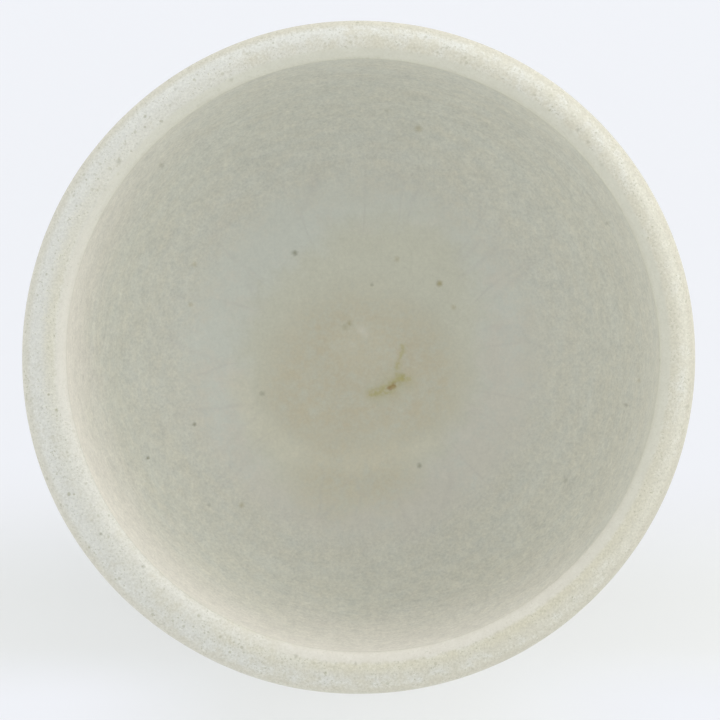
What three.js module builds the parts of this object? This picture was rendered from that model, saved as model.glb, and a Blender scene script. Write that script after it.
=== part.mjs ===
// A wheel-thrown stoneware bowl with a thick rounded lip, standing mouth up on its turned foot ring.
// The clay is one thrown and fired piece. Three coats of glaze lie on it: one poured inside, one dipped
// over the outside and the lip, and one brushed under the foot. The foot ring itself is bare clay.
// Millimetres, +Z up. The origin is on the ground, in the middle of the foot ring.
import * as THREE from "three";

// The finished bowl
const mouthDiameter = 180; // across the outside of the glazed lip
const bowlHeight = 82; // from the ground to the crown of the glazed lip

// Glaze
const glazeThickness = 0.9;
const glazeBond = 0.3; // clearance between a coat and the clay under it, or the next coat
const outerGlazeLap = 1; // how far the outer coat comes down inside the lip
const outerGlazeLine = 3.6; // height on the foot where the outer coat stops
const baseGlazeLap = 1.3; // how far the base coat comes down inside the foot ring, below its fillet

// Thrown wall and floor, in clay
const wallThickness = 7.8; // just under the lip
const floorThickness = 8; // in the middle
const wallLean = 4.5; // how far the wall's upper half draws in towards the floor
const wallFullness = 0.66; // share of the inside's height that the wall's handle takes
const floorFullness = 0.68; // share of the inside's radius that the floor's handle takes

// Lip, in clay
const lipDepth = 7; // how far the lip's inner bead reaches down the wall
const lipBead = 0.8; // how far the bead stands in from the wall
const lipOuterRound = 2.8;
const lipInnerRound = 1.4;
const lipCrown = 0.5; // rise of the lip's top between its two rounds

// Turned foot ring, in clay
const footDiameter = 92;
const footWidth = 7;
const footTaper = 0.8; // how much thinner the ring is at its top than at its base, on each side
const footInstep = 4; // reach of the curve from the ring's outside to the wall
const footChamfer = 0.8;
const recessDepth = 5; // hollow inside the ring
const recessFillet = 1.5;

// The mouth was thrown a little off centre, so the lip is widest on the left and narrowest on the right.
const mouthDrift = new THREE.Vector2(1.2, 0.5);
const driftStart = 25; // height from which the inside drifts

// Finger spiral left on the floor by throwing. Its ridge widens anticlockwise, seen from above.
const spiralPitch = 18.5;
const spiralStart = 16; // the ridge's distance from the middle on the +X side
const spiralDepth = 0.35;
const spiralReach = 46; // radius at which it fades out into the wall
const spiralOffset = 7.5; // the spiral starts this far off the axis, towards +Y

const segments = 52; // facets round the bowl

// What follows from them
const coat = glazeBond + glazeThickness;
const lipRadius = mouthDiameter / 2 - coat;
const crownHeight = bowlHeight - coat;
const shoulderHeight = crownHeight - lipCrown;
const wallRadius = lipRadius - wallThickness; // inside of the wall, under the lip
const beadRadius = wallRadius - lipBead; // inside of the lip
const floorHeight = recessDepth + floorThickness;
const beadHeight = shoulderHeight - lipInnerRound;
const seamHeight = beadHeight - outerGlazeLap;
const wallTop = shoulderHeight - lipDepth;
const footRadius = footDiameter / 2;
const recessRadius = footRadius - footWidth;

const at = (radius, height) => new THREE.Vector2(radius, height);

// The inside of the wall and floor, from the axis (0) to just under the lip (1).
const inside = new THREE.CubicBezierCurve(
  at(0, floorHeight),
  at(wallRadius * floorFullness, floorHeight),
  at(wallRadius - wallLean, wallTop - (wallTop - floorHeight) * wallFullness),
  at(wallRadius, wallTop),
);

// The outside of the wall keeps to the inside's curve, and thickens towards the floor.
function outsideAt(t) {
  const upward = inside.getTangent(t);
  const thickness = wallThickness + (floorThickness - wallThickness) * (1 - t);
  const point = inside.getPoint(t);
  return at(point.x + upward.y * thickness, point.y - upward.x * thickness);
}

// Where on its curve the outside of the wall reaches a radius, found by halving.
function outsideReaches(radius) {
  let [low, high] = [0, 1];
  while (high - low > 1e-9) {
    const middle = (low + high) / 2;
    if (outsideAt(middle).x < radius) low = middle;
    else high = middle;
  }
  return high;
}

// Points along a curve, without its first, so that stretches can follow each other.
const along = (curve, steps) => curve.getPoints(steps).slice(1);

// Stretches of the clay's outline. Each goes the way that keeps the clay on its left.

// Under the foot, from the axis to where the base coat stops.
function recessOutline(steps) {
  const wallFoot = at(recessRadius, footChamfer);
  const wallHead = at(recessRadius - footTaper, recessDepth - recessFillet);
  const line = wallHead.clone().lerp(wallFoot, baseGlazeLap / (wallHead.y - wallFoot.y));
  const corner = new THREE.QuadraticBezierCurve(
    at(wallHead.x - recessFillet, recessDepth),
    at(wallHead.x, recessDepth),
    wallHead,
  );
  return [at(0, recessDepth), corner.getPoint(0), ...along(corner, steps), line];
}

// The outside of the ring: its foot, and the corner that it would make with the wall.
function ringSide() {
  return new THREE.LineCurve(
    at(footRadius, footChamfer),
    outsideAt(outsideReaches(footRadius - footTaper)),
  );
}

const upSide = (side, height) => side.getPoint((height - side.v1.y) / (side.v2.y - side.v1.y));

// The bare ring: down its inside, across its base and up to its foot's edge.
const ringOutline = () => [
  at(recessRadius, footChamfer),
  at(recessRadius + footChamfer, 0),
  at(footRadius - footChamfer, 0),
  at(footRadius, footChamfer),
];

// Up the outside of the wall and over the lip, from where the outer coat stops on the ring to where it
// stops inside the lip.
function outerOutline(steps) {
  const side = ringSide();
  const start = outsideReaches(footRadius + footInstep);
  const instep = new THREE.QuadraticBezierCurve(
    upSide(side, side.v2.y - footInstep),
    side.v2,
    outsideAt(start),
  );
  const wall = Array.from({ length: steps }, (_, i) => outsideAt(start + ((1 - start) * (i + 1)) / steps));
  const outerEdge = at(lipRadius - lipOuterRound, shoulderHeight);
  const innerEdge = at(beadRadius + lipInnerRound, shoulderHeight);
  const peak = at((outerEdge.x + innerEdge.x) / 2, shoulderHeight + 2 * lipCrown);
  const crown = new THREE.QuadraticBezierCurve(outerEdge, peak, innerEdge);
  // A round's handle is above its upright end and in line with the crown, so the lip has no crease.
  const handle = (x, edge) => at(x, edge.y + ((x - edge.x) * (peak.y - edge.y)) / (peak.x - edge.x));
  const outerRound = new THREE.QuadraticBezierCurve(
    at(lipRadius, shoulderHeight - lipOuterRound),
    handle(lipRadius, outerEdge),
    outerEdge,
  );
  const innerRound = new THREE.QuadraticBezierCurve(
    innerEdge,
    handle(beadRadius, innerEdge),
    at(beadRadius, beadHeight),
  );
  return [
    upSide(side, outerGlazeLine),
    instep.getPoint(0),
    ...along(instep, Math.ceil(steps / 3)),
    ...wall,
    outerRound.getPoint(0),
    ...along(outerRound, Math.ceil(steps / 3)),
    ...along(crown, Math.round(steps / 3)),
    ...along(innerRound, Math.ceil(steps / 4)),
    at(beadRadius, seamHeight),
  ];
}

// From where the outer coat stops inside the lip, under the bead and down to the middle of the floor.
function innerOutline(steps, start = seamHeight) {
  const bead = new THREE.CubicBezierCurve(
    at(beadRadius, start),
    at(beadRadius, (seamHeight + wallTop) / 2),
    at(wallRadius, (seamHeight + wallTop) / 2),
    at(wallRadius, wallTop),
  );
  const wall = inside.getSpacedPoints(steps).reverse(); // from under the bead to the axis
  return [bead.getPoint(0), ...along(bead, Math.ceil(steps / 5)), ...wall.slice(1)];
}

// The same outline moved out from the clay by a distance, with its corners kept sharp.
function offset(outline, distance) {
  const normals = outline.slice(1).map((point, i) => {
    const step = point.clone().sub(outline[i]).normalize();
    return at(step.y, -step.x);
  });
  return outline.map((point, i) => {
    const before = normals[Math.max(i - 1, 0)];
    const after = normals[Math.min(i, normals.length - 1)];
    const mid = before.clone().add(after).normalize();
    const moved = point.clone().addScaledVector(mid, distance / mid.dot(after));
    return point.x === 0 ? at(0, point.y + Math.sign(mid.y) * distance) : moved;
  });
}

// The share of the mouth's drift that a point takes: all at the lip's inner edge, none outside or low down.
function driftShare(radius, height) {
  const inward = THREE.MathUtils.clamp((lipRadius + coat - radius) / (lipRadius - beadRadius), 0, 1);
  return inward * THREE.MathUtils.smoothstep(height, driftStart, wallTop);
}

function revolve(profile) {
  const geometry = new THREE.LatheGeometry(profile, segments).rotateX(Math.PI / 2);
  const position = geometry.getAttribute("position");
  for (let i = 0; i < position.count; i++) {
    const [x, y, z] = [position.getX(i), position.getY(i), position.getZ(i)];
    const share = driftShare(Math.hypot(x, y), z);
    position.setXY(i, x + share * mouthDrift.x, y + share * mouthDrift.y);
  }
  return geometry;
}

// The steps along each stretch: fewer where clay and coat meet out of sight, more on what shows.
const hiddenSteps = { recess: 2, outer: 7, inner: 10 };
const shownSteps = { recess: 3, outer: 11, inner: 22 };

function clayBody() {
  const { recess, outer, inner } = hiddenSteps;
  return revolve([
    ...recessOutline(recess),
    ...ringOutline(),
    ...outerOutline(outer),
    ...innerOutline(inner).slice(1),
  ]);
}

// A coat of glaze: its face as seen, and its back against the clay.
function coatSides(outline, stretch, start) {
  return {
    face: offset(outline(shownSteps[stretch], start), coat),
    back: offset(outline(hiddenSteps[stretch], start), glazeBond).reverse(),
  };
}

function baseGlaze() {
  const { face, back } = coatSides(recessOutline, "recess");
  return revolve([...face, ...back]);
}

function outerGlaze() {
  const { face, back } = coatSides(outerOutline, "outer");
  return revolve([...face, ...back, face[0]]);
}

// How far the finger spiral lifts or lowers the floor at a point.
function spiralRelief(x, y) {
  const radius = Math.hypot(x, y);
  const outward = THREE.MathUtils.smoothstep(radius, 0, spiralReach);
  const y0 = y - spiralOffset * (1 - outward);
  const turn = Math.atan2(y0, x) / (2 * Math.PI);
  const distance = Math.hypot(x, y0);
  const strength = THREE.MathUtils.smoothstep(distance, 0, spiralStart) * Math.sqrt(1 - outward);
  return spiralDepth * strength * Math.cos(2 * Math.PI * ((distance - spiralStart) / spiralPitch - turn));
}

function innerGlaze() {
  const { face, back } = coatSides(innerOutline, "inner", seamHeight - glazeBond);
  const geometry = revolve([...back, ...face]);
  const position = geometry.getAttribute("position");
  const ring = back.length + face.length;
  for (let i = 0; i < position.count; i++) {
    if (i % ring < back.length) continue; // the back keeps to the clay
    position.setZ(i, position.getZ(i) + spiralRelief(position.getX(i), position.getY(i)));
  }
  geometry.computeVertexNormals();
  return geometry;
}

const matteGlaze = { roughness: 0.62, metalness: 0 };

function piece(name, geometry, look) {
  const mesh = new THREE.Mesh(geometry, new THREE.MeshStandardMaterial(look));
  mesh.name = name;
  return mesh;
}

const bowl = new THREE.Group();
bowl.add(
  piece("clay_body", clayBody(), { color: 0xc9ad84, roughness: 0.85, metalness: 0 }),
  piece("inner_glaze", innerGlaze(), { color: 0xcfcfbf, ...matteGlaze }),
  piece("outer_glaze", outerGlaze(), { color: 0xd6d6c9, ...matteGlaze }),
  piece("base_glaze", baseGlaze(), { color: 0xd3d1c1, ...matteGlaze }),
);

export default bowl;
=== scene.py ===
"""A wheel-thrown stoneware bowl under a pale matte glaze, seen straight down into its mouth.

It has four pieces: the clay, and the coats of glaze inside, outside and under the foot. Their surfaces are
turned round the bowl's axis in millimetres and stored in metres.
"""

import math

import bpy
import numpy as np
from mathutils import Matrix, Vector


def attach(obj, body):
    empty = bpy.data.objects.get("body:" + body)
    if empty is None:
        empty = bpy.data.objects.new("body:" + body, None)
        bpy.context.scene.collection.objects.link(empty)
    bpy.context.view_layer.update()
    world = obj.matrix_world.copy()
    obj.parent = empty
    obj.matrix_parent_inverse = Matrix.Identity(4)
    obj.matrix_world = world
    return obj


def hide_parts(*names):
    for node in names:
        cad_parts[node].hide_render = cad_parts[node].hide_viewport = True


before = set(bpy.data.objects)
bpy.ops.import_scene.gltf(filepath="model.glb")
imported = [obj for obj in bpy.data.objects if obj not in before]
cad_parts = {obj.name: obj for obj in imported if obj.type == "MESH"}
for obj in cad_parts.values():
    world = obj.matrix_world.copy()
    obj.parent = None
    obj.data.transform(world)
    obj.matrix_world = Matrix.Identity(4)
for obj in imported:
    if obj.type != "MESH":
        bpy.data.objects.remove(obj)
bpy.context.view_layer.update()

MM = 0.001

# The bowl
MOUTH_RADIUS = 90.0
BOWL_HEIGHT = 82.0

# Coats of glaze
COAT = 1.2  # height of a coat's face above the clay
ROOT = -0.1  # a coat's back lies this far inside the clay
COAT_EDGE = 1.0  # radius of a coat's rounded edge
OUTER_GLAZE_LAP = 1.0
OUTER_GLAZE_LINE = 3.6
BASE_GLAZE_LAP = 1.3
LINER_START = 0.1  # the liner starts this far below the lip's inner round, under the outer coat
LINER_THINNED = 0.5  # how much thinner the liner is there
LINER_THINNED_REACH = 4.0  # how far below the seam it is still thinner
SEAM_GAP = 0.3  # the outer coat stops this far short of the seam
OUTER_SPARE = 1.2  # length beyond a glaze line for its uneven edge
BASE_SPARE = 0.7

# Clay
WALL = 7.8
FLOOR = 8.0
WALL_LEAN = 4.5
WALL_FULLNESS = 0.66
FLOOR_FULLNESS = 0.68
LIP_DEPTH = 7.0
LIP_BEAD = 0.8
LIP_OUTER_ROUND = 2.8
LIP_INNER_ROUND = 1.4
LIP_CROWN = 0.5
FOOT_RADIUS = 46.0
FOOT_WIDTH = 7.0
FOOT_TAPER = 0.8
FOOT_INSTEP = 4.0
FOOT_CHAMFER = 0.8
RECESS_DEPTH = 5.0
RECESS_FILLET = 1.5
MOUTH_DRIFT = (1.2, 0.5)
DRIFT_START = 25.0

# Finger spiral on the floor
SPIRAL_PITCH = 18.5
SPIRAL_START = 16.0
SPIRAL_DEPTH = 0.35
SPIRAL_REACH = 46.0
SPIRAL_OFFSET = 7.5

# Throwing marks: the height, the pitch and how fast they change round the bowl
LINER_RINGS = ((0.02, 0.9, 3.0), (0.035, 2.2, 2.0), (0.10, 9.0, 1.5))
OUTER_RINGS = ((0.02, 1.1, 3.0), (0.07, 3.4, 2.0), (0.22, 9.0, 1.2))
BASE_RINGS = ((0.05, 2.6, 2.0), (0.08, 8.0, 1.3))
BARE_RINGS = ((0.05, 1.1, 2.5),)
LINER_RINGS_GROW = (34.0, 62.0)  # radii between which a surface's marks grow to their full height
BASE_RINGS_GROW = (6.0, 20.0)
OUTER_RINGS_GROW = (5.0, 14.0)  # distances up from the glaze line
OUTER_RINGS_FADE = 6.0  # distance below the lip

# Soft unevenness: the height and the size. The base coat's has the noise's level as well.
LINER_LUMPS = ((0.08, 22.0), (0.025, 5.0))
OUTER_LUMPS = ((0.09, 24.0), (0.025, 4.0))
BASE_LUMPS = ((0.10, 16.0, 3.0), (0.03, 4.0, 5.0))
BARE_LUMPS = ((0.03, 1.6),)

# Uneven edges of the coats: the height and how fast they change round the bowl
FOOT_LINE = ((0.5, 2.2), (0.15, 11.0))
SEAM_LINE = ((0.2, 6.0),)
BASE_LINE = ((0.35, 2.0), (0.12, 9.0))

# The thick roll of glaze above the foot's glaze line
ROLL_HEIGHT = 0.35
ROLL_PLACE = 1.7
ROLL_WIDTH = 1.2
ROLL_LINE = ((0.5, 5.0),)

# Seeds of the noise, and where in it the throwing marks and the uneven edges are read
LINER_SEED, OUTER_SEED, BASE_SEED, CLAY_SEED = 11, 23, 31, 47
RINGS_CENTRE = 7
EDGE_CENTRE = 20
EDGE_LAYER = 0.5

# Wear of the bare foot ring
RING_WEAR = 0.05
RING_WEAR_FADE = 2.5

# Points of the meshes and of the curves that they follow
SEGMENTS = 300
LINER_ROWS = 282
OUTER_ROWS = 256
BASE_ROWS = 84
BASE_CROWDING = 0.3  # how much closer together its rows are towards its edge
EDGE_ROWS = 9
BACK_ROWS = 30
RECESS_ROWS, RING_ROWS, UNDER_ROWS = 24, 90, 150
CURVE_STEPS = 60
WALL_STEPS = 480
CORNER_STEPS = 8
SAME_PLACE = 1e-6
ON_AXIS = 1e-3

lip_radius = MOUTH_RADIUS - COAT
shoulder = BOWL_HEIGHT - COAT - LIP_CROWN
wall_radius = lip_radius - WALL
bead_radius = wall_radius - LIP_BEAD
floor_height = RECESS_DEPTH + FLOOR
bead_height = shoulder - LIP_INNER_ROUND
seam_height = bead_height - OUTER_GLAZE_LAP
wall_top = shoulder - LIP_DEPTH
recess_radius = FOOT_RADIUS - FOOT_WIDTH

turn = np.arange(SEGMENTS) * 2 * math.pi / SEGMENTS


# Outlines of the clay, as points of radius and height. Each goes the way that keeps the clay on its left.


def bezier(*points, steps=CURVE_STEPS):
    degree = len(points) - 1
    t = np.linspace(0, 1, steps + 1)[:, None]
    return sum(
        math.comb(degree, k) * t**k * (1 - t) ** (degree - k) * np.array(point, float)
        for k, point in enumerate(points)
    )


def joined(*stretches):
    """Stretches end to end, with no point twice in a row."""
    points = np.vstack([np.asarray(s, float).reshape(-1, 2) for s in stretches])
    steps = np.hypot(*np.diff(points, axis=0).T)
    return points[np.concatenate(([True], steps > SAME_PLACE))]


inside = bezier(
    (0, floor_height),
    (wall_radius * FLOOR_FULLNESS, floor_height),
    (wall_radius - WALL_LEAN, wall_top - (wall_top - floor_height) * WALL_FULLNESS),
    (wall_radius, wall_top),
    steps=WALL_STEPS,
)


def outside_from(radius):
    """The outside of the wall, from a radius up to under the lip."""
    step = np.gradient(inside, axis=0)
    step /= np.hypot(*step.T)[:, None]
    t = np.linspace(0, 1, len(inside))[:, None]
    thickness = WALL + (FLOOR - WALL) * (1 - t)
    wall = inside + np.column_stack((step[:, 1], -step[:, 0])) * thickness
    start = (radius, np.interp(radius, wall[:, 0], wall[:, 1]))
    return joined(start, wall[wall[:, 0] > radius])


ring_foot = np.array((FOOT_RADIUS, FOOT_CHAMFER))
ring_head = outside_from(FOOT_RADIUS - FOOT_TAPER)[0]  # the corner that the ring makes with the wall


def up_ring(height):
    """The point at a height on the outside of the foot ring."""
    return ring_foot + (ring_head - ring_foot) * (height - ring_foot[1]) / (ring_head[1] - ring_foot[1])


def recess_outline(spare=0.0):
    """Under the foot, from the axis to where the base coat stops, and a spare length beyond."""
    head = np.array((recess_radius - FOOT_TAPER, RECESS_DEPTH - RECESS_FILLET))
    foot = np.array((recess_radius, FOOT_CHAMFER))
    line = head + (foot - head) * (BASE_GLAZE_LAP + spare) / (head[1] - foot[1])
    fillet = bezier((head[0] - RECESS_FILLET, RECESS_DEPTH), (head[0], RECESS_DEPTH), head)
    return joined((0, RECESS_DEPTH), fillet, line)


def ring_outline():
    """The bare ring, with its edges worn round."""
    inner, outer = recess_radius, FOOT_RADIUS
    worn_height, worn_width, corner = (FOOT_CHAMFER * share for share in (1.4, 1.6, 0.1))
    return joined(
        bezier((inner, worn_height), (inner + corner, 0), (inner + worn_width, 0), steps=CORNER_STEPS),
        bezier((outer - worn_width, 0), (outer - corner, 0), up_ring(worn_height), steps=CORNER_STEPS),
    )


def outer_outline(start_height):
    """Up the foot from a height, up the wall, over the lip and down to the seam inside it."""
    wall = outside_from(FOOT_RADIUS + FOOT_INSTEP)
    outer_edge = (lip_radius - LIP_OUTER_ROUND, shoulder)
    inner_edge = (bead_radius + LIP_INNER_ROUND, shoulder)
    peak = ((outer_edge[0] + inner_edge[0]) / 2, shoulder + 2 * LIP_CROWN)

    def handle(x, edge):
        """The place above an upright end from which a round runs on into the crown."""
        return (x, edge[1] + (x - edge[0]) * (peak[1] - edge[1]) / (peak[0] - edge[0]))

    return joined(
        up_ring(start_height),
        bezier(up_ring(ring_head[1] - FOOT_INSTEP), ring_head, wall[0]),
        wall,
        bezier((lip_radius, shoulder - LIP_OUTER_ROUND), handle(lip_radius, outer_edge), outer_edge),
        bezier(outer_edge, peak, inner_edge),
        bezier(inner_edge, handle(bead_radius, inner_edge), (bead_radius, bead_height)),
        (bead_radius, seam_height),
    )


def inner_outline(start_height):
    """From a height inside the lip, under its bead and down to the middle of the floor."""
    middle = (seam_height + wall_top) / 2
    bead = bezier(
        (bead_radius, seam_height),
        (bead_radius, middle),
        (wall_radius, middle),
        (wall_radius, wall_top),
    )
    return joined((bead_radius, start_height), bead, inside[::-1])


class Outline:
    """An outline that can be read at any distance along it, and at any height above the clay."""

    def __init__(self, points):
        self.points = points
        steps = np.hypot(*np.diff(points, axis=0).T)
        self.travelled = np.concatenate(([0], np.cumsum(steps)))
        self.length = self.travelled[-1]
        tangent = np.gradient(points, self.travelled, axis=0)
        tangent /= np.hypot(*tangent.T)[:, None]
        self.normals = np.column_stack((tangent[:, 1], -tangent[:, 0]))

    def read(self, travel, height):
        """The radius and the level of the places at a height above it."""
        columns = []
        for k in range(2):
            place = np.interp(travel, self.travelled, self.points[:, k])
            normal = np.interp(travel, self.travelled, self.normals[:, k])
            columns.append(place + normal * height)
        return columns

    def travel_up_to(self, level):
        """How far along it first comes up to a level."""
        return self.travelled[np.argmax(self.points[:, 1] >= level)]

    def travel_nearest(self, place):
        """How far along it comes nearest to a place."""
        return self.travelled[np.argmin(np.hypot(*(self.points - place).T))]


# Relief


def smoothstep(value, low, high):
    share = np.clip((value - low) / (high - low), 0, 1)
    return share * share * (3 - 2 * share)


class Noise:
    """Smooth seeded noise from -1 to 1 over three coordinates."""

    size = 64

    def __init__(self, seed):
        self.lattice = np.random.default_rng(seed).uniform(-1, 1, (self.size,) * 3)

    def __call__(self, *coordinates):
        coordinates = np.broadcast_arrays(*coordinates)
        whole = [np.floor(c).astype(int) for c in coordinates]
        share = [c - w for c, w in zip(coordinates, whole)]
        share = [s * s * (3 - 2 * s) for s in share]
        total = 0
        for corner in np.ndindex(2, 2, 2):
            weight = 1
            for side, s in zip(corner, share):
                weight = weight * (s if side else 1 - s)
            cell = tuple((w + side) % self.size for w, side in zip(whole, corner))
            total = total + weight * self.lattice[cell]
        return total


def once_round(noise, along, centre, change):
    """Noise that is read once round a circle as the bowl turns, so that it joins up."""
    return noise(along, centre + change * np.cos(turn), centre + change * np.sin(turn))


def rings(noise, travel, table):
    """Marks that run round the bowl, from their heights, pitches and changes on the way round."""
    return sum(
        height * once_round(noise, travel / pitch, RINGS_CENTRE, change) for height, pitch, change in table
    )


def uneven(noise, value, table):
    """A value that changes slowly round the bowl, from the heights and speeds of its changes."""
    for height, change in table:
        value = value + height * once_round(noise, EDGE_LAYER, EDGE_CENTRE, change)
    return value


def plan(radius):
    """Where points at a radius lie, seen from above."""
    return radius * np.cos(turn), radius * np.sin(turn)


def lumps(noise, radius, level, table):
    """Soft unevenness, from the heights and sizes of its lumps."""
    x, y = plan(radius)
    return sum(height * noise(x / size, y / size, level / size) for height, size in table)


def spiral_wave(radius):
    """The finger spiral's rise and fall on the floor, from -1 to 1, and how strongly it shows."""
    x, y = plan(radius)
    outward = smoothstep(np.hypot(x, y), 0, SPIRAL_REACH)
    y0 = y - SPIRAL_OFFSET * (1 - outward)
    turns = np.arctan2(y0, x) / (2 * math.pi)
    distance = np.hypot(x, y0)
    strength = smoothstep(distance, 0, SPIRAL_START) * np.sqrt(1 - outward)
    return np.cos(2 * math.pi * ((distance - SPIRAL_START) / SPIRAL_PITCH - turns)), strength


# Pieces


def add_object(name, data):
    item = bpy.data.objects.new(name, data)
    bpy.context.scene.collection.objects.link(item)
    return item


def faces_between(index, on_axis):
    """Faces from each row of points to the next, and from the last row to the first."""
    faces = []
    for row in range(len(index)):
        following = (row + 1) % len(index)
        low, high = index[row], index[following]
        corners = [low, np.roll(low, -1), np.roll(high, -1), high]
        if on_axis[row]:
            corners.pop(1)
        if on_axis[following]:
            corners.pop()
        if len(corners) > 2:
            faces += np.column_stack(corners).tolist()
    return faces


def revolve(name, radius, level, fields):
    """A closed piece turned from rows of points that go round the bowl. A row on the axis is one point."""
    share = np.clip((MOUTH_RADIUS - radius) / (lip_radius - bead_radius), 0, 1)
    share = share * smoothstep(level, DRIFT_START, wall_top)
    x, y = plan(radius)
    points = np.stack((x + share * MOUTH_DRIFT[0], y + share * MOUTH_DRIFT[1], level), axis=-1)
    on_axis = radius.max(axis=1) < ON_AXIS
    points[on_axis, :, :2] = 0
    keep = np.ones(radius.shape, bool)
    keep[on_axis, 1:] = False
    index = np.cumsum(keep.ravel()).reshape(keep.shape) - 1
    index[on_axis] = index[on_axis, :1]
    faces = faces_between(index, on_axis)
    mesh = bpy.data.meshes.new(name)
    mesh.from_pydata(points[keep] * MM, [], faces)
    mesh.polygons.foreach_set("use_smooth", [True] * len(faces))
    for field, values in fields.items():
        attribute = mesh.attributes.new(field, "FLOAT", "POINT")
        attribute.data.foreach_set("value", values[keep].astype(np.float32))
    mesh.update()
    return add_object(name, mesh)


def coat_rows(start, end, count):
    """Distances from a coat's start to its end, set close where its edges round over."""
    curl = COAT_EDGE * (1 - np.cos(np.linspace(0, math.pi / 2, EDGE_ROWS)))[:, None]
    middle = np.linspace(0, 1, count)[1:-1, None]
    flat = start + COAT_EDGE + (end - start - 2 * COAT_EDGE) * middle
    return np.vstack((start + curl, flat, end - curl[::-1]))


def edge_share(distance):
    """How much of its full height a coat has reached at a distance from its rounded edge."""
    return np.sqrt(1 - (1 - np.clip(distance / COAT_EDGE, 0, 1)) ** 2)


def coat(name, outline, travel, height, fields):
    """A coat of glaze: its face at a height above an outline, and its back just inside the clay."""
    back = np.linspace(travel[-1], travel[0], BACK_ROWS)
    sides = zip(outline.read(travel, height), outline.read(back, ROOT))
    radius, level = (np.vstack(side) for side in sides)
    fields = {field: np.vstack((values, np.zeros(back.shape))) for field, values in fields.items()}
    return revolve(name, radius, level, fields)


def build_liner():
    noise = Noise(LINER_SEED)
    top = bead_height - LINER_START
    hidden = top - seam_height  # the length under the outer coat
    outline = Outline(inner_outline(top))
    travel = np.linspace(np.zeros(SEGMENTS), np.full(SEGMENTS, outline.length), LINER_ROWS)
    radius, level = outline.read(travel, COAT)
    thin = 1 - smoothstep(travel, hidden, hidden + LINER_THINNED_REACH)
    thrown = smoothstep(radius, *LINER_RINGS_GROW) * rings(noise, travel, LINER_RINGS) * (1 - thin)
    soft = lumps(noise, radius, level, LINER_LUMPS)
    wave, strength = spiral_wave(radius)
    height = COAT - LINER_THINNED * thin + thrown + soft + SPIRAL_DEPTH * strength * wave
    fields = {"travel": travel - hidden, "thin": thin, "spiral": wave * strength}
    return coat("liner", outline, travel, height, fields)


def build_outer_coat():
    noise = Noise(OUTER_SEED)
    outline = Outline(outer_outline(OUTER_GLAZE_LINE - OUTER_SPARE))
    start = uneven(noise, OUTER_SPARE, FOOT_LINE)
    end = uneven(noise, outline.length - SEAM_GAP, SEAM_LINE)
    travel = coat_rows(start, end, OUTER_ROWS)
    radius, level = outline.read(travel, COAT)
    lip_start = outline.travel_up_to(shoulder - LIP_OUTER_ROUND)
    roll = ROLL_HEIGHT * np.exp(-(((travel - start - ROLL_PLACE) / ROLL_WIDTH) ** 2))
    roll = roll * uneven(noise, 1, ROLL_LINE)
    below_lip = 1 - smoothstep(travel, lip_start - OUTER_RINGS_FADE, lip_start)
    thrown = smoothstep(travel, *OUTER_RINGS_GROW) * below_lip * rings(noise, travel, OUTER_RINGS)
    soft = lumps(noise, radius, level, OUTER_LUMPS)
    cover = edge_share(np.minimum(travel - start, end - travel))
    height = ROOT + (COAT - ROOT + thrown + soft + roll) * cover
    fields = {"travel": travel - start, "lip": travel - lip_start, "left": end - travel}
    return coat("outer_coat", outline, travel, height, fields)


def build_base_coat():
    noise = Noise(BASE_SEED)
    outline = Outline(recess_outline(BASE_SPARE))
    end = uneven(noise, outline.length - BASE_SPARE, BASE_LINE)
    share = np.linspace(0, 1, BASE_ROWS)[:, None]
    share = share * (1 + BASE_CROWDING - BASE_CROWDING * share)
    travel = end * share
    radius, level = outline.read(travel, COAT)
    x, y = plan(radius)
    soft = sum(height * noise(x / size, y / size, layer) for height, size, layer in BASE_LUMPS)
    turned = smoothstep(radius, *BASE_RINGS_GROW) * rings(noise, travel, BASE_RINGS)
    height = ROOT + (COAT - ROOT + soft + turned) * edge_share(end - travel)
    return coat("base_coat", outline, travel, height, {"travel": end - travel})


def build_clay():
    noise = Noise(CLAY_SEED)
    ring = ring_outline()
    outline = Outline(
        joined(recess_outline(), ring, outer_outline(OUTER_GLAZE_LINE), inner_outline(seam_height))
    )
    ring_start, ring_end = (outline.travel_nearest(edge) for edge in (ring[0], ring[-1]))
    before, after = ring_start - RING_WEAR_FADE, ring_end + RING_WEAR_FADE
    stations = np.concatenate(
        (
            np.linspace(0, before, RECESS_ROWS, endpoint=False),
            np.linspace(before, after, RING_ROWS, endpoint=False),
            np.linspace(after, outline.length, UNDER_ROWS),
        )
    )
    travel = np.repeat(stations[:, None], SEGMENTS, axis=1)
    radius, level = outline.read(travel, 0)
    bare = smoothstep(travel, before, ring_start) * (1 - smoothstep(travel, ring_end, after))
    worn = rings(noise, travel, BARE_RINGS) + lumps(noise, radius, level, BARE_LUMPS) - RING_WEAR
    radius, level = outline.read(travel, bare * worn)
    return revolve("clay", radius, level, {"bare": travel - ring_start})


# Colours and marks


def linear(*colour):
    """A colour as written from 0 to 255, as the light that it stands for."""
    shares = [c / 255 for c in colour]
    return (*(s / 12.92 if s <= 0.04045 else ((s + 0.055) / 1.055) ** 2.4 for s in shares), 1.0)


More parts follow.
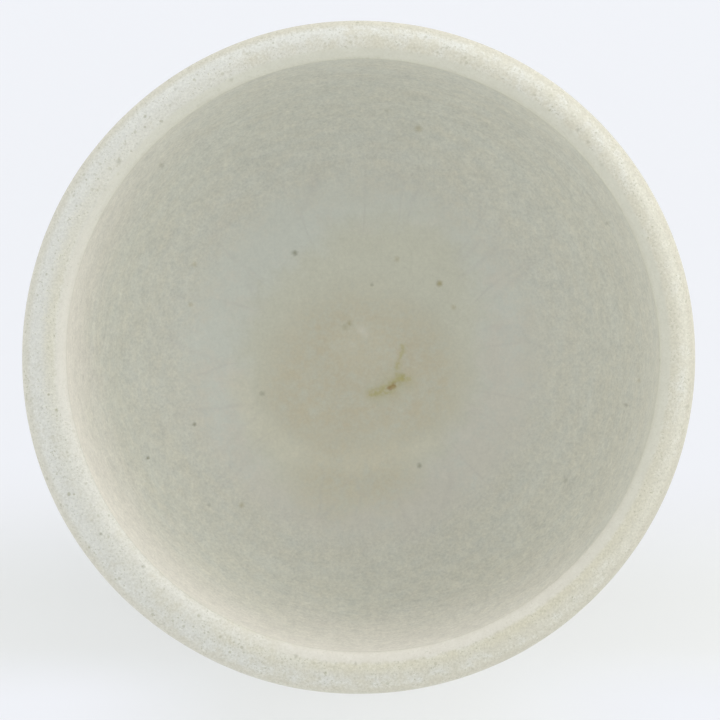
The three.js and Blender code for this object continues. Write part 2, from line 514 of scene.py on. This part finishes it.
LINER_WARM = linear(199, 196, 181)
LINER_COOL = linear(197, 198, 188)
LINER_POOL = linear(199, 201, 191)
LINER_VIOLET = linear(200, 197, 185)
# Partly the glaze's own cream, partly painted light: lighter than the liner, as the lamp-lit wall below
# the lip
LINER_CREAM_AND_LIGHT = linear(210, 205, 194)
SEAM = linear(185, 178, 152)
STAIN_GREEN = linear(199, 198, 182)
STAIN_BROWN = linear(193, 186, 164)
# The stain's pale middle, and the colour of the painted light line across the stain
STAIN_PALE_AND_LIGHT = linear(207, 203, 184)
BUTTON_WHITE = linear(226, 226, 220)
CRAZE = linear(176, 172, 166)
OUTER_COOL = linear(197, 196, 188)
OUTER_WARM = linear(194, 190, 174)
LIP_EDGE = linear(185, 180, 163)
LIP_STRIPE = linear(193, 187, 163)
# Lit and shaded copies of the lip's inner band: painted light
LIP_INNER_PAINTED_LIT = linear(199, 194, 182)
LIP_INNER_PAINTED_SHADE = linear(190, 188, 173)
DOT = linear(150, 147, 122)
IRON = linear(100, 98, 66)
OCHRE = linear(150, 136, 78)
CRACK_TINT = linear(170, 162, 98)
CRACK_DARK = linear(140, 98, 24)
CLAY_PALE = linear(205, 184, 148)
CLAY_WARM = linear(196, 168, 126)
CLAY_FLASH = linear(170, 118, 72)

# Sides of the bowl on which the glaze differs, as azimuths in degrees. Some of these differences are
# painted light.
LINER_WARM_SIDE = 290
# The side where the cream and its painted light are strongest
CREAM_AND_LIGHT_SIDE = 226
DRAINED_AND_LIT_SIDE = 240
WARM_SIDE = 348
TONED_SIDE = 35
# The side towards which the glaze is painted paler, and away from which it is painted darker: painted
# light and shade
PAINTED_LIGHT_SIDE = 80
BAND_GAP_SIDE = 222

# How far from the axis towards a side its difference starts, and from where it is full
CREAM_AND_LIGHT_GROWS = (-30, 60)
DRAINED_AND_LIT_GROWS = (-50, 60)
TONED_GROWS = (-80, 50)
BAND_GAP_GROWS = (58, 76)

# Painted light and shade: how much paler the glaze is made at the rim towards one side, and darker towards
# the other
LINER_PAINTED_LIGHT = 0.042
OUTER_PAINTED_LIGHT = 0.016

# Patches of the floor's glaze: discs of x, y and radius, and a line of painted light through points
POOL_DISC = ((0.0, -2.5, 50.0),)
STAIN_DISCS = ((-1.0, -2.0, 34.0), (8.0, 15.0, 25.0), (-6.0, -17.0, 26.0))
BROWN_DISCS = (
    (-2.0, -4.3, 23.6),
    (-12.0, -9.0, 17.5),
    (11.0, -7.0, 19.0),
    (-9.0, -32.5, 12.5),
    (4.0, -32.5, 11.5),
)
STAIN_MIDDLE = ((-0.5, 2.5, 9.5),)
# Painted light: a pale line where a slope of the floor faces the lamps, its width and its points
STAIN_PAINTED_LIGHT_WIDTH = 5.5
STAIN_PAINTED_LIGHT_LINE = ((-35.3, -8.3), (-30.5, -19.6), (-22.0, -26.7), (-10.7, -30.4), (4.9, -30.2), (19.1, -25.3))

# How far outside its discs a patch starts, and how far from their edge it is full
POOL_EDGE = (5.0, -9.0)
STAIN_EDGE = (5.0, -6.0)
BROWN_EDGE = (6.0, -9.0)
MIDDLE_EDGE = (3.0, -6.0)
HALO_EDGE = (3.0, -4.5)

# Radii between which the liner goes over from what its floor shows to what its wall shows
SPECKLE_GROWS = (44, 56)
SPECKLE_GROWS_ON = (62, 74)
BLOTCH_GROWS = (44, 60)
LINES_GROW = (55, 72)
LINES_RISE = (48, 66)
# Radii over which the liner's painted light and shade fade out downwards
PAINTED_LIGHT_FADES = (78, 68)
CREAM_REACH = (45, 10)  # distances down from the seam

# Edges on the lip: distances past the start of its outer round, and distances left before the seam
LIP_EDGE_STARTS = (-3.0, -0.5)
LIP_EDGE_ENDS = (3.5, 1.6)
STRIPE_STARTS = (7.0, 4.6)
BAND_STARTS = (4.1, 2.9)
LIP_SPECKS_FROM = (72, 76)  # heights
GLAZE_LINE_TINT = (2.2, 0.3)  # distances up from the glaze line

# Craze lines that run outward through the pool
CRAZE_COUNT = 18
CRAZE_LENGTH = 90.0
CRAZE_PLACE = 5.3
CRAZE_WIDTH = 0.034
CRAZE_SPREAD = 0.75  # how irregular the lines are
CRAZE_STRENGTH = 0.18
CRAZE_STARTS = (31, 36)  # radii
CRAZE_ENDS = (64, 50)

# Marks in the glaze: x, y, radius and strength
MARK_SPREAD = 1.55  # a mark fades out at this share of its radius
MARK_STRENGTH = 0.95
MARK_RAGGED = 0.25
BUTTON = ((-0.4, 7.3, 1.4, 0.3), (0.9, 5.8, 1.0, 0.2), (-3.0, 3.1, 1.2, 0.12))
SPECKS = (
    (-19.2, 29.1, 0.85, 0.6),
    (2.5, 20.1, 0.55, 0.4),
    (-28.5, -10.8, 0.8, 0.4),
    (16.1, -31.1, 0.75, 0.5),
    (-47.3, -19.3, 0.6, 0.62),
    (-59.5, -28.4, 0.5, 0.75),
    (7.2, 68.0, 0.6, 0.2),
    (-54.3, 52.4, 0.6, 0.3),
    (67.6, 36.5, 0.6, 0.22),
    (73.0, -13.3, 0.6, 0.28),
    (56.8, -34.6, 0.75, 0.3),
    (-42.8, -41.8, 0.5, 0.35),
)
OCHRE_SPECKS = (
    (21.8, 20.4, 0.9, 0.7),
    (9.7, 27.3, 0.85, 0.32),
    (25.7, 13.7, 0.8, 0.35),
    (-3.8, 9.1, 0.8, 0.5),
    (-5.1, 8.0, 0.95, 0.38),
    (-33.9, -42.0, 0.8, 0.42),
    (-47.2, 25.7, 0.8, 0.34),
    (-48.4, 14.5, 0.7, 0.34),
    (15.9, 63.3, 1.0, 0.36),
    (76.2, -6.5, 0.5, 0.25),
)
LIP_SPECKS = (
    (-63.6, 52.2, 0.7, 0.35),
    (-48.5, 71.5, 0.4, 0.3),
    (-33.7, 74.0, 0.5, 0.25),
    (58.6, 60.5, 0.6, 0.28),
    (61.2, 57.3, 0.6, 0.22),
    (64.9, 51.2, 0.6, 0.18),
    (87.7, -13.1, 0.6, 0.28),
    (80.1, -0.8, 0.5, 0.35),
    (-68.5, -47.0, 0.45, 0.55),
    (-57.2, -55.7, 0.5, 0.42),
    (-51.7, -71.0, 0.4, 0.2),
    (-0.5, -81.5, 0.45, 0.32),
    (-16.4, -79.5, 0.55, 0.35),
)

# The crack mark beside the middle: lines through points, and the discs of its halo
CRACK_STEM = ((11.6, 3.0), (10.9, 0.2), (9.7, -3.2), (9.9, -5.6), (11.0, -6.4))
CRACK_TAIL = ((11.6, -6.1), (9.9, -7.3), (8.0, -8.8), (5.9, -10.1), (2.0, -10.9))
CRACK_CORE = ((8.5, -8.3), (7.7, -9.0))
CRACK_HALO = ((8.6, -8.4, 3.4), (4.5, -10.6, 2.4), (12.5, -7.4, 2.0))


# Materials

# Sockets of a colour mix, which go by number because those of other kinds have the same names
MIX_SHARE, MIX_A, MIX_B, MIXED = 0, 6, 7, 2


class Nodes:
    """A node tree that is built up from nothing."""

    def __init__(self, tree):
        self.tree = tree
        tree.nodes.clear()

    def node(self, kind, *values, **settings):
        node = self.tree.nodes.new(kind)
        for setting, value in settings.items():
            setattr(node, setting, value)
        for socket, value in zip(node.inputs, values):
            self.feed(socket, value)
        return node

    def feed(self, socket, value):
        if isinstance(value, bpy.types.NodeSocket):
            self.tree.links.new(value, socket)
        elif value is not None:
            socket.default_value = value

    def math(self, operation, *values, clamp=False):
        return self.node("ShaderNodeMath", *values, operation=operation, use_clamp=clamp).outputs[0]

    def add(self, *values):
        total = values[0]
        for value in values[1:]:
            total = self.math("ADD", total, value)
        return total

    def times(self, *values):
        total = values[0]
        for value in values[1:]:
            total = self.math("MULTIPLY", total, value)
        return total

    def less(self, a, b):
        return self.math("SUBTRACT", a, b)

    def blend(self, *terms):
        """The sum of terms. Each is a value, or the factors of a product."""
        return self.add(*(self.times(*term) if isinstance(term, tuple) else term for term in terms))

    def vector(self, operation, a, b=None, scale=None):
        node = self.node("ShaderNodeVectorMath", a, b, operation=operation)
        if scale is not None:
            self.feed(node.inputs["Scale"], scale)
        return node.outputs["Value" if operation in ("DISTANCE", "DOT_PRODUCT") else "Vector"]

    def seen(self):
        """1 where the camera sees a surface, by itself or in a reflection."""
        path = self.node("ShaderNodeLightPath").outputs
        first = self.math("MAXIMUM", path["Is Camera Ray"], path["Is Glossy Ray"])
        return self.math("MAXIMUM", first, path["Is Transmission Ray"])


class Surface(Nodes):
    """A material built from nodes. Its lengths are millimetres."""

    def __init__(self, name):
        self.material = bpy.data.materials.new(name)
        self.material.use_nodes = True
        super().__init__(self.material.node_tree)
        place = self.node("ShaderNodeTexCoord").outputs["Object"]
        self.place = self.vector("SCALE", place, scale=1 / MM)
        self.x, self.y, self.z = self.node("ShaderNodeSeparateXYZ", self.place).outputs
        self.radius = self.math("SQRT", self.blend((self.x, self.x), (self.y, self.y)))
        self.plan = self.combined(self.x, self.y, 0.0)

    def combined(self, x, y, z):
        return self.node("ShaderNodeCombineXYZ", x, y, z).outputs[0]

    def field(self, name):
        return self.node("ShaderNodeAttribute", attribute_name=name).outputs["Fac"]

    def towards(self, azimuth):
        """How far a place lies from the axis towards an azimuth in degrees."""
        angle = math.radians(azimuth)
        return self.vector("DOT_PRODUCT", self.place, (math.cos(angle), math.sin(angle), 0.0))

    def rise(self, value, low, high, start=0.0, end=1.0):
        """Goes smoothly from start to end as a value goes from low to high."""
        ends = (low, high, start, end)
        return self.node("ShaderNodeMapRange", value, *ends, interpolation_type="SMOOTHSTEP").outputs[0]

    def noise(self, size, detail=2.0, roughness=0.5, place=None):
        """Noise from about -1 to 1, with blotches of about a size."""
        node = self.node("ShaderNodeTexNoise")
        self.feed(node.inputs["Vector"], self.place if place is None else place)
        self.feed(node.inputs["Scale"], 1 / size)
        self.feed(node.inputs["Detail"], detail)
        self.feed(node.inputs["Roughness"], roughness)
        return self.math("MULTIPLY_ADD", node.outputs[0], 2.0, -1.0)

    def cells(self, place, size, randomness=1.0, **settings):
        """Cells of about a size, round points that are more or less random."""
        node = self.node("ShaderNodeTexVoronoi", **settings)
        self.feed(node.inputs["Vector"], place)
        self.feed(node.inputs["Scale"], 1 / size)
        self.feed(node.inputs["Randomness"], randomness)
        return node.outputs

    def rings(self, travel, pitch, change, shift=0.0):
        """A place for noise that runs round the bowl: across its marks, and slowly along them."""
        across = self.math("MULTIPLY_ADD", travel, 1 / pitch, shift)
        scale = self.math("DIVIDE", change, self.math("MAXIMUM", self.radius, 1.0))
        return self.combined(across, self.times(self.x, scale), self.times(self.y, scale))

    def mix(self, share, a, b):
        node = self.node("ShaderNodeMix", data_type="RGBA")
        self.feed(node.inputs[MIX_SHARE], share)
        self.feed(node.inputs[MIX_A], a)
        self.feed(node.inputs[MIX_B], b)
        return node.outputs[MIXED]

    def shade(self, colour, amount):
        """A colour made lighter or darker by a share of itself."""
        return self.vector("SCALE", colour, scale=self.math("ADD", amount, 1.0))

    def beyond(self, discs, blend):
        """How far a place lies outside discs of (x, y, radius) that melt into each other."""
        reach = None
        for x, y, radius in discs:
            edge = self.less(self.vector("DISTANCE", self.plan, (x, y, 0.0)), radius)
            reach = edge if reach is None else self.math("SMOOTH_MIN", reach, edge, blend)
        return reach

    def spots(self, marks):
        """How strongly marks show, from their (x, y, radius, strength)."""
        ragged = self.times(self.noise(0.8), MARK_RAGGED)
        shown = []
        for x, y, radius, strength in marks:
            reach = self.add(self.vector("DISTANCE", self.plan, (x, y, 0.0)), ragged)
            shown.append(self.rise(reach, radius * MARK_SPREAD, 0.0, 0.0, strength * MARK_STRENGTH))
        return self.add(*shown)

    def stroke(self, points, width, ragged=0.5):
        """How near a place is to a line through points: 1 on it, 0 beyond its width."""
        nearest = None
        for start, end in zip(points, points[1:]):
            step = (end[0] - start[0], end[1] - start[1], 0.0)
            from_start = self.vector("SUBTRACT", self.plan, (*start, 0.0))
            along = self.vector("DOT_PRODUCT", from_start, step)
            share = self.times(along, 1 / (step[0] ** 2 + step[1] ** 2))
            share = self.math("MINIMUM", self.math("MAXIMUM", share, 0.0), 1.0)
            foot = self.vector("ADD", self.vector("SCALE", step, scale=share), (*start, 0.0))
            distance = self.vector("DISTANCE", self.plan, foot)
            nearest = distance if nearest is None else self.math("MINIMUM", nearest, distance)
        return self.rise(self.blend(nearest, (self.noise(width * 1.2, 3.0), width * ragged)), width, 0.0)

    def finish(self, colour, roughness, relief):
        """Closes the material with its colour, its roughness and its relief in millimetres."""
        bump = self.node("ShaderNodeBump")
        self.feed(bump.inputs["Height"], relief)
        self.feed(bump.inputs["Distance"], MM)
        shader = self.node("ShaderNodeBsdfPrincipled")
        self.feed(shader.inputs["Base Color"], colour)
        self.feed(shader.inputs["Roughness"], roughness)
        self.feed(shader.inputs["Normal"], bump.outputs[0])
        self.node("ShaderNodeOutputMaterial", shader.outputs[0])
        return self.material


class Glaze(Surface):
    """A matte glaze, finely mottled, whose lines and bands run round the bowl.

    Lines and bands are given by their pitch, how fast they change round the bowl, and a shift.
    """

    def __init__(self, name, crystal, lines, bands):
        super().__init__(name)
        self.travel = self.field("travel")
        self.speckle = self.noise(crystal, detail=3.5, roughness=0.7)
        self.cloud = self.noise(crystal * 5, detail=3.0, roughness=0.65)
        self.drift = self.noise(crystal * 22, detail=2.0, roughness=0.5)
        self.lines = self.noise(1.0, 2.0, 0.6, self.rings(self.travel, *lines))
        self.bands = self.noise(1.0, 2.0, 0.5, self.rings(self.travel, *bands))


# Each of these lays one thing over a glaze's colour. Some also give how strongly it shows.


def lay_pool(m, colour, blotch):
    """The pool of thicker glaze round the floor."""
    reach = m.blend(m.beyond(POOL_DISC, 1.0), (m.noise(14, 3.0, 0.6), 9.0), (blotch, 2.5))
    pool = m.rise(reach, *POOL_EDGE)
    lean = (m.towards(LINER_WARM_SIDE), 0.9 / MOUTH_RADIUS)
    tinge = m.rise(m.blend(m.noise(11, 2.0), (blotch, 0.8), lean), -0.5, 0.5)
    return m.mix(pool, colour, m.mix(tinge, LINER_POOL, LINER_VIOLET)), pool


def lay_stain(m, colour, blotch):
    """The stain where the glaze is thin on the floor: grey-green, and brown in its middle, with a pale
    line of painted light where a slope faces the lamps.
    """
    ragged = m.blend((m.noise(8, 3.0, 0.6), 6.0), (blotch, 3.5))
    stain = m.rise(m.add(m.beyond(STAIN_DISCS, 10.0), ragged), *STAIN_EDGE)
    colour = m.mix(stain, colour, STAIN_GREEN)
    brown = m.rise(m.add(m.beyond(BROWN_DISCS, 6.0), ragged), *BROWN_EDGE)
    mottle = m.blend(0.62, (blotch, 1.2), (m.cloud, 0.9), (m.field("spiral"), 0.1))
    colour = m.mix(m.math("MULTIPLY", brown, mottle, clamp=True), colour, STAIN_BROWN)
    # Painted light: a pale line where a slope of the floor faces the lamps
    painted_light_line = m.times(m.stroke(STAIN_PAINTED_LIGHT_LINE, STAIN_PAINTED_LIGHT_WIDTH), m.blend(0.5, (m.cloud, 0.5)))
    colour = m.mix(painted_light_line, colour, STAIN_PALE_AND_LIGHT)
    middle = m.rise(m.add(m.beyond(STAIN_MIDDLE, 1.0), ragged), *MIDDLE_EDGE)
    colour = m.mix(m.times(middle, 0.25), colour, STAIN_PALE_AND_LIGHT)
    return m.mix(m.spots(BUTTON), colour, BUTTON_WHITE), stain


def lay_cream_and_light(m, colour):
    """Thin, creamy glaze below the lip, most on the side that it drained from, and the seam above it. The
    cream is partly painted light: it is lighter on that side, where the lamps light the wall.
    """
    side = m.rise(m.towards(CREAM_AND_LIGHT_SIDE), *CREAM_AND_LIGHT_GROWS, 0.15, 1.0)
    cream_and_light = m.rise(m.blend(m.travel, (m.drift, 12.0), (m.cloud, 4.0)), *CREAM_REACH)
    # Partly painted light: the wall below the lip is made lighter on the lamp-lit side
    colour = m.mix(m.times(cream_and_light, side), colour, LINER_CREAM_AND_LIGHT)
    return m.mix(m.times(m.field("thin"), 0.6), colour, SEAM)


def lay_craze(m, colour):
    """Craze lines across the pool."""
    across = m.math("DIVIDE", CRAZE_COUNT / (2 * math.pi), m.math("MAXIMUM", m.radius, 1.0))
    outward = m.blend((m.radius, 1 / CRAZE_LENGTH), (m.noise(12, 1.0), 0.1), CRAZE_PLACE)
    bend = m.noise(20, 1.0, 0.4)
    sideways = m.blend((m.x, across), (bend, 0.25)), m.blend((m.y, across), (bend, -0.25))
    place = m.combined(outward, *sideways)
    edge = m.cells(place, 1.0, CRAZE_SPREAD, feature="DISTANCE_TO_EDGE")["Distance"]
    ring = m.rise(m.radius, *CRAZE_STARTS), m.rise(m.radius, *CRAZE_ENDS)
    craze = m.times(m.rise(edge, CRAZE_WIDTH, 0.0), *ring)
    craze = m.times(craze, m.rise(m.noise(9, 2.0), -0.45, 0.25))
    return m.mix(m.times(craze, CRAZE_STRENGTH), colour, CRAZE), craze


def lay_crack(m, colour, blotch):
    """The brown mark beside the middle."""
    patchy = m.rise(m.noise(1.3, 2.0), -0.35, 0.25, 0.25, 1.0)
    halo = m.rise(m.blend(m.beyond(CRACK_HALO, 2.0), (blotch, 3.0)), *HALO_EDGE)
    colour = m.mix(m.times(halo, 0.3), colour, CRACK_TINT)
    colour = m.mix(m.times(m.stroke(CRACK_STEM, 1.5, 0.6), patchy, 0.5), colour, CRACK_TINT)
    colour = m.mix(m.times(m.stroke(CRACK_TAIL, 2.3, 0.7), patchy, 0.62), colour, CRACK_TINT)
    return m.mix(m.times(m.stroke(CRACK_CORE, 1.2, 0.8), 0.62), colour, CRACK_DARK)


def lay_lip(m, colour):
    """The lip's beige outer edge, its smooth inner band and the stripe beside it, and its specks. The
    inner band's colour is painted light: a lighter copy on the lamp-lit side, a greyer copy on the other.
    """
    lip, left = m.field("lip"), m.field("left")
    ragged = m.times(m.add(m.cloud, m.speckle), 0.5)
    over_lip = m.add(lip, ragged)
    outer_edge = m.times(m.rise(over_lip, *LIP_EDGE_STARTS), m.rise(over_lip, *LIP_EDGE_ENDS))
    toned = m.rise(m.towards(TONED_SIDE), *TONED_GROWS, 0.6, 0.9)
    colour = m.mix(m.times(outer_edge, toned), colour, LIP_EDGE)
    # The smooth band is missing on the lower left, where the coats run into each other
    band = m.rise(m.towards(BAND_GAP_SIDE), *BAND_GAP_GROWS, 1.0, 0.25)
    inner_edge = m.times(m.rise(m.blend(left, (ragged, -0.8)), *BAND_STARTS), band)
    beside = m.times(m.rise(m.blend(left, (ragged, -2.0)), *STRIPE_STARTS), m.less(1.0, inner_edge))
    # Towards the side the glaze drained from, which is also the side where the inner band is painted lit
    drained_and_lit = m.rise(m.towards(DRAINED_AND_LIT_SIDE), *DRAINED_AND_LIT_GROWS)
    stripe = m.times(beside, band, m.rise(drained_and_lit, 0.0, 1.0, 0.15, 0.5))
    colour = m.mix(stripe, colour, LIP_STRIPE)
    # Painted light: the inner band is a lit copy of its colour on one side and a shaded copy on the other
    colour = m.mix(m.times(inner_edge, 0.85), colour, m.mix(drained_and_lit, LIP_INNER_PAINTED_SHADE, LIP_INNER_PAINTED_LIT))
    specks = m.times(m.spots(LIP_SPECKS), m.rise(m.z, *LIP_SPECKS_FROM))
    colour = m.mix(specks, colour, IRON)
    return colour, inner_edge


def lay_dots(m, colour, patch, lively):
    """Small dots of iron, and grit between them."""
    cells = m.cells(m.place, 1.4)
    size = m.rise(cells["Color"], 0.4, 1.0, 0.0, 0.42)
    dots = m.times(m.rise(m.less(cells["Distance"], size), 0.06, -0.14), m.rise(patch, 0.2, 0.8, 0.5, 1.0))
    dots = m.times(dots, m.rise(m.noise(6, 2.0), -0.3, 0.3, 0.3, 1.0))
    colour = m.mix(m.times(dots, lively, 0.6), colour, DOT)
    grit = m.rise(m.noise(0.5, 1.5, 0.6), 0.12, 0.5)
    return m.mix(m.times(grit, lively, m.rise(m.cloud, -0.3, 0.3, 0.2, 0.8)), colour, DOT), dots


def liner_material():
    m = Glaze("liner_glaze", crystal=0.8, lines=(1.3, 9.0), bands=(5.0, 4.0, 30.0))
    blotch = m.noise(2.4, 3.0, 0.7)
    lean = (m.towards(LINER_WARM_SIDE), 0.25 / MOUTH_RADIUS)
    warmth = m.rise(m.blend((m.bands, 0.7), (blotch, 0.8), lean), -0.9, 0.9)
    colour, pool = lay_pool(m, m.mix(warmth, LINER_COOL, LINER_WARM), blotch)
    colour, stain = lay_stain(m, colour, blotch)
    colour, craze = lay_craze(m, lay_cream_and_light(m, colour))
    colour = m.mix(m.spots(SPECKS), colour, IRON)
    colour = m.mix(m.spots(OCHRE_SPECKS), colour, OCHRE)
    colour = lay_crack(m, colour, blotch)

    # The grain is weaker on the floor than on the wall above it
    lively = m.blend(
        m.rise(m.radius, *SPECKLE_GROWS, 0.5, 1.2),
        m.rise(m.radius, *SPECKLE_GROWS_ON, 0.0, 0.15),
        (stain, 0.1),
    )
    coarse = m.rise(m.radius, *BLOTCH_GROWS, 0.065, 0.14)
    grain = m.blend(
        (m.speckle, 0.22, lively),
        (blotch, coarse),
        (m.cloud, coarse, 0.7),
        (m.drift, 0.03),
        (m.lines, 0.09, m.rise(m.radius, *LINES_GROW)),
    )
    # Painted light and shade: paler towards one side of the bowl, darker towards the other
    painted_light = m.times(m.towards(PAINTED_LIGHT_SIDE), LINER_PAINTED_LIGHT / MOUTH_RADIUS, m.rise(m.radius, *PAINTED_LIGHT_FADES))
    roughness = m.blend(0.58, (m.speckle, 0.12), (pool, -0.08), (m.cloud, 0.05))
    relief = m.blend(
        (m.speckle, 0.03, lively),
        (m.lines, 0.02, m.rise(m.radius, *LINES_RISE)),
        (m.noise(0.35, 1.0), 0.008),
        (craze, -0.01),
    )
    return m.finish(m.shade(colour, m.add(grain, painted_light)), roughness, relief)


def outer_material(name):
    """The glaze of the outer coat and of the base coat. Only the outer coat reaches the lip."""
    m = Glaze(name, crystal=0.7, lines=(1.5, 8.0), bands=(6.0, 3.0, 50.0))
    lean = (m.towards(WARM_SIDE), -0.45 / MOUTH_RADIUS)
    patch = m.blend((m.speckle, 0.6), (m.cloud, 0.8), (m.drift, 0.3), (m.bands, 0.3), lean)
    patch = m.rise(patch, -0.45, 0.35)
    colour = m.mix(patch, OUTER_WARM, OUTER_COOL)
    lively = 1.0
    if name == "outer_glaze":
        colour, inner_edge = lay_lip(m, colour)
        colour = m.mix(m.rise(m.travel, *GLAZE_LINE_TINT, 0.0, 0.6), colour, LIP_EDGE)
        lively = m.rise(inner_edge, 0.0, 1.0, 1.0, 0.35)
    colour, dots = lay_dots(m, colour, patch, lively)
    grain = m.blend((m.speckle, 0.28, lively), (m.cloud, 0.07), (m.lines, 0.03))
    # Painted light and shade: paler towards one side of the bowl, darker towards the other
    painted_light = m.times(m.towards(PAINTED_LIGHT_SIDE), OUTER_PAINTED_LIGHT / MOUTH_RADIUS)
    roughness = m.blend(0.56, (m.speckle, 0.12), (m.cloud, 0.06))
    relief = m.blend((m.speckle, 0.035), (m.lines, 0.012), (m.noise(0.35, 1.0), 0.01), (dots, -0.03))
    return m.finish(m.shade(colour, m.add(grain, painted_light)), roughness, relief)


def clay_material():
    m = Surface("stoneware")
    grog = m.noise(0.7, 3.0, 0.65)
    lines = m.noise(1.0, 2.0, 0.6, m.rings(m.field("bare"), 0.8, 6.0))
    colour = m.mix(m.rise(m.noise(6, 3.0, 0.6), -0.4, 0.4), CLAY_PALE, CLAY_WARM)
    edge = m.rise(m.radius, FOOT_RADIUS - 1.6, FOOT_RADIUS - 0.2)
    colour = m.mix(m.times(edge, 0.55), colour, CLAY_FLASH)
    iron = m.rise(m.noise(1.1, 1.0), 0.55, 0.7)
    colour = m.mix(m.times(iron, 0.6), colour, IRON)
    colour = m.shade(colour, m.blend((grog, 0.16), (lines, 0.06)))
    return m.finish(colour, m.blend(0.84, (grog, 0.08)), m.blend((grog, 0.07), (lines, 0.03)))


for piece, node, slot, material in (
    (build_clay(), "clay_body", "stoneware", clay_material()),
    (build_liner(), "inner_glaze", "liner_glaze", liner_material()),
    (build_outer_coat(), "outer_glaze", "outer_glaze", outer_material("outer_glaze")),
    (build_base_coat(), "base_glaze", "outer_glaze", outer_material("base_glaze")),
):
    piece.data.materials.append(material)
    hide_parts(node)
    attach(piece, "root")


# The studio: a pale floor in a white tent, whose walls near the horizon are brighter than its top

FLOOR_HALF = 3.0  # metres
FLOOR_TOP = linear(240, 242, 247)
# Painted shadow: the darker tint of the floor beside and in front of the bowl
FLOOR_PAINTED_SHADOW = linear(231, 231, 230)
FLOOR_GLOW = 0.9  # share of the floor's look that its shadow doesn't reach
FLOOR_GLOW_LOW = 0.25  # the same where the floor has its painted shadow
UNDER_BOWL = (50, 92)  # radii, between which the glow grows to its full share
# Where the floor's painted shadow lies, and the two front corners where it stops
PAINTED_SHADOW_STARTS = (-29, -72)  # millimetres along Y
PAINTED_SHADOW_ENDS = (-200, -110)
PAINTED_SHADOW_ASIDE = (260, 110)  # millimetres to either side
FRONT_STARTS = (-82, -101)
FRONT_ASIDE = (25, 95)

TENT_COLOUR = (0.95, 0.98, 1.0, 1.0)
TENT_LIGHT = 0.725
TENT_WALLS = 1.8

LAMP_DISTANCE = 1.5  # metres
LAMPS = (  # name, azimuth and elevation in degrees, power in watts and size in metres
    ("low_key", 60, 10, 6.2, 0.8),
    ("key", 30, 24, 3.05, 1.1),
    ("right", 2, 40, 2.5, 0.9),
    ("left", 180, 40, 2.4, 0.9),
)

# The camera looks down the bowl's axis, a little from its right, with the mouth just left of the middle.
# It stands at one place and aims at another, in metres from the middle of the rim.
CAMERA_OFFSET = Vector((0.023, 0.009, 1.0))
AIM_OFFSET = Vector((0.00067, -0.00062, 0.0))
LENS = 188.0
SENSOR_WIDTH = 36
CLIP_START = 0.01


def floor_material():
    """A pale floor with a painted shadow beside the bowl and in front of it, but not at the two front
    corners.
    """
    m = Surface("floor")
    aside = m.math("ABSOLUTE", m.x)
    front = m.times(m.rise(m.y, *FRONT_STARTS), m.rise(aside, *FRONT_ASIDE))
    lengthwise = m.times(m.rise(m.y, *PAINTED_SHADOW_STARTS), m.rise(m.y, *PAINTED_SHADOW_ENDS))
    # Painted shadow: the floor is tinted darker beside and in front of the bowl
    painted_shadow = m.times(lengthwise, m.rise(aside, *PAINTED_SHADOW_ASIDE), m.less(1.0, front))
    tint = m.mix(painted_shadow, FLOOR_TOP, FLOOR_PAINTED_SHADOW)
    beyond_foot = m.rise(m.radius, *UNDER_BOWL, 0.15, 1.0)
    glow_share = m.times(m.rise(painted_shadow, 0.0, 1.0, FLOOR_GLOW, FLOOR_GLOW_LOW), beyond_foot)
    lit = m.node("ShaderNodeBsdfDiffuse", tint).outputs[0]
    glow = m.node("ShaderNodeEmission", tint, 1.0).outputs[0]
    mixed = m.node("ShaderNodeMixShader", m.times(m.seen(), glow_share), lit, glow)
    m.node("ShaderNodeOutputMaterial", mixed.outputs[0])
    return m.material


def light_tent():
    world = bpy.data.worlds.new("studio")
    bpy.context.scene.world = world
    world.use_nodes = True
    m = Nodes(world.node_tree)
    direction = m.node("ShaderNodeTexCoord").outputs["Generated"]
    height = m.node("ShaderNodeSeparateXYZ", direction).outputs["Z"]
    lowness = m.less(1.0, m.math("ABSOLUTE", height))
    strength = m.blend((lowness, lowness, TENT_WALLS), TENT_LIGHT)
    light = m.node("ShaderNodeBackground", TENT_COLOUR, strength).outputs[0]
    backdrop = m.node("ShaderNodeBackground", FLOOR_TOP, 1.0).outputs[0]
    mixed = m.node("ShaderNodeMixShader", m.seen(), light, backdrop)
    m.node("ShaderNodeOutputWorld", mixed.outputs[0])


def add_lamp(name, azimuth, elevation, power, size):
    """A large soft lamp that faces the bowl."""
    data = bpy.data.lights.new(name, "AREA")
    data.shape = "DISK"
    data.size = size
    data.energy = power
    lamp = add_object(name, data)
    azimuth, elevation = math.radians(azimuth), math.radians(elevation)
    level = math.cos(elevation)
    direction = Vector((math.cos(azimuth) * level, math.sin(azimuth) * level, math.sin(elevation)))
    lamp.location = direction * LAMP_DISTANCE
    lamp.rotation_euler = direction.to_track_quat("Z", "Y").to_euler()
    lamp.visible_camera = False


def add_camera():
    data = bpy.data.cameras.new("camera")
    data.lens = LENS
    data.sensor_width = SENSOR_WIDTH
    data.clip_start = CLIP_START
    camera = add_object("camera", data)
    rim_middle = Vector((0, 0, BOWL_HEIGHT * MM))
    camera.location = rim_middle + CAMERA_OFFSET
    forward = (rim_middle + AIM_OFFSET - camera.location).normalized()
    right = forward.cross(Vector((0, 1, 0))).normalized()
    up = right.cross(forward)
    camera.rotation_euler = Matrix((right, up, -forward)).transposed().to_euler()
    bpy.context.scene.camera = camera


floor_mesh = bpy.data.meshes.new("floor")
corners = [(x * FLOOR_HALF, y * FLOOR_HALF, 0) for x, y in ((-1, -1), (1, -1), (1, 1), (-1, 1))]
floor_mesh.from_pydata(corners, [], [(0, 1, 2, 3)])
floor_mesh.materials.append(floor_material())
floor = add_object("floor", floor_mesh)

light_tent()
for settings in LAMPS:
    add_lamp(*settings)
add_camera()
bpy.context.scene.view_settings.view_transform = "Standard"
